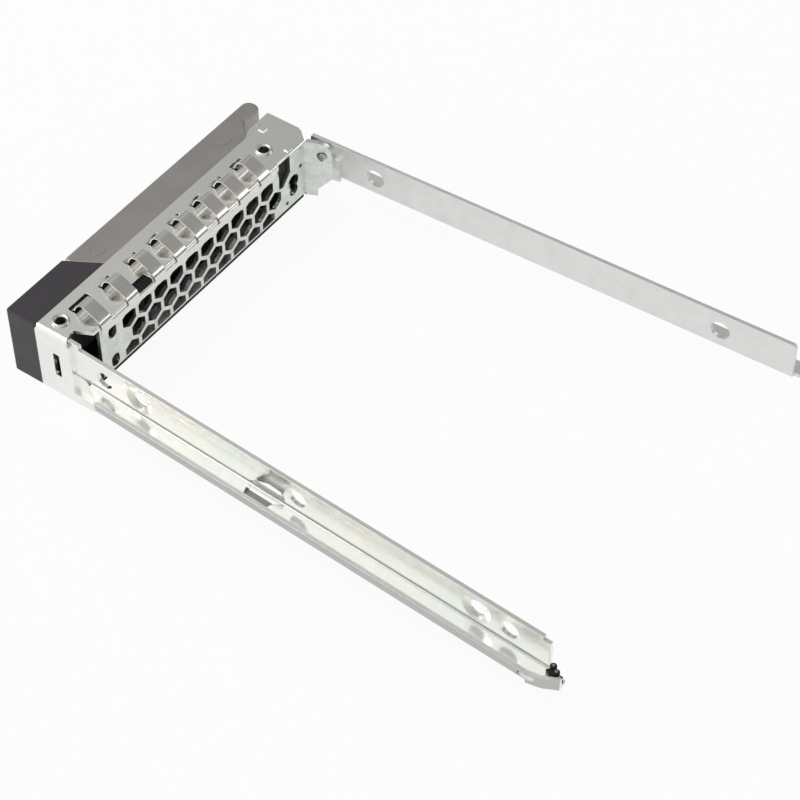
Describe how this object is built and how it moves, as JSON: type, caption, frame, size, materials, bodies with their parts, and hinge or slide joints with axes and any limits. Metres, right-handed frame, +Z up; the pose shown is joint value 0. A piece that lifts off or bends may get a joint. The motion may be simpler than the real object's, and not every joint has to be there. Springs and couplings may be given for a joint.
{
  "type": "hot swap drive caddy",
  "caption": "Open frame drive caddy: two sheet metal rails on a vented front block with spring contact fingers, a pivoted lever with a hook and a release button.",
  "frame": {"origin": "on the bay's centre line, under the front edge of the top plate, on the flat underside of the front block", "axes": "+Y is the way the caddy slides into its slot, from the lever to the rail tips; +Z is up, out of the top plate; +X is towards the button and the contact rail"},
  "size_m": [0.0899, 0.128, 0.0181],
  "materials": {
    "bright_sheet": "polished",
    "satin_sheet": "satin",
    "grille_sheet": "satin",
    "finger_sheet": "bright",
    "black_plastic": "fine texture",
    "cap_plastic": "fine texture",
    "lever_metal": "satin",
    "rivet_metal": "satin",
    "button_plastic": "satin",
    "spring_wire": "bright",
    "lens_plastic": "clear",
    "board_green": "coated",
    "gold_contact": "bright",
    "amber_film": "film"
  },
  "bodies": {
    "carrier": {"main_bracket": "bright_sheet", "far_rail": "satin_sheet", "grille_bracket": "grille_sheet", "spring_finger_strip": "finger_sheet", "carrier_body": "black_plastic", "bezel_cap": "cap_plastic", "pivot_rivet": "rivet_metal", "corner_rivet": "rivet_metal", "ear_rivet": "rivet_metal", "latch_spring": "spring_wire", "indicator_lens_far": "lens_plastic", "indicator_lens_near": "lens_plastic", "indicator_board": "board_green", "contact_block": "black_plastic", "contact_flex": "amber_film", "contact_pin_1": "gold_contact", "contact_pin_2": "gold_contact", "contact_pin_3": "gold_contact"},
    "lever": {"lever_shell": "lever_metal", "lever_insert": "black_plastic", "lever_stake_near": "lever_metal", "lever_stake_far": "lever_metal"},
    "release_button": {"release_button": "button_plastic"},
    "latch_slider": {"latch_slider": "black_plastic"}
  },
  "joints": [
    {"name": "lever_swing", "type": "hinge", "parent": "carrier", "child": "lever", "pos_m": [-0.02565, 0.0051, 0.0083], "axis": [0, 0, -1], "range_deg": [0, 45]},
    {"name": "button_press", "type": "slide", "parent": "carrier", "child": "release_button", "axis": [0, 1, 0], "range_m": [0, 0.0012], "stiffness_N_per_m": 300, "springref_m": -0.001},
    {"name": "latch_slide", "type": "slide", "parent": "carrier", "child": "latch_slider", "axis": [1, 0, 0], "range_m": [0, 0.00096], "deforming": ["latch_spring"]}
  ],
  "couplings": [
    {"joint": "latch_slide", "follows": "button_press", "ratio": 0.8}
  ]
}
